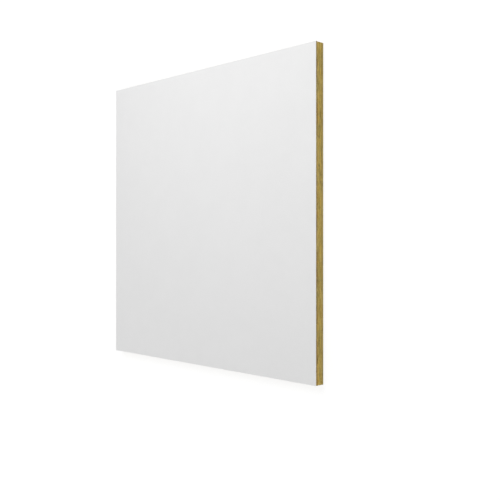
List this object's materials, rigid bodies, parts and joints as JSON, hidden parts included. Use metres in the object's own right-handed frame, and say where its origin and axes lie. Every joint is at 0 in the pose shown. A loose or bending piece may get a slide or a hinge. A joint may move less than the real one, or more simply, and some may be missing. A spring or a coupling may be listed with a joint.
{
  "type": "suspended ceiling tile",
  "caption": "Square-edged sound-absorbing ceiling tile: a flat white painted-fleece face on a bare-edged board of stone wool, with a plain fleece back, laid into an exposed grid.",
  "frame": {"origin": "centre of the back fleece's outer face, on which the tile lies", "axes": "+Z out of the visible painted face, which looks down into the room once the tile hangs in its grid; +X and +Y along the square sides, +X to the right and +Y to the top of the visible face as pictured"},
  "size_m": [0.595, 0.595, 0.02],
  "materials": {
    "painted_fleece": "matte",
    "stone_wool": "matte",
    "natural_fleece": "matte"
  },
  "bodies": {
    "root": {"painted_face_fleece": "painted_fleece", "stone_wool_core": "stone_wool", "back_fleece": "natural_fleece"}
  },
  "joints": []
}
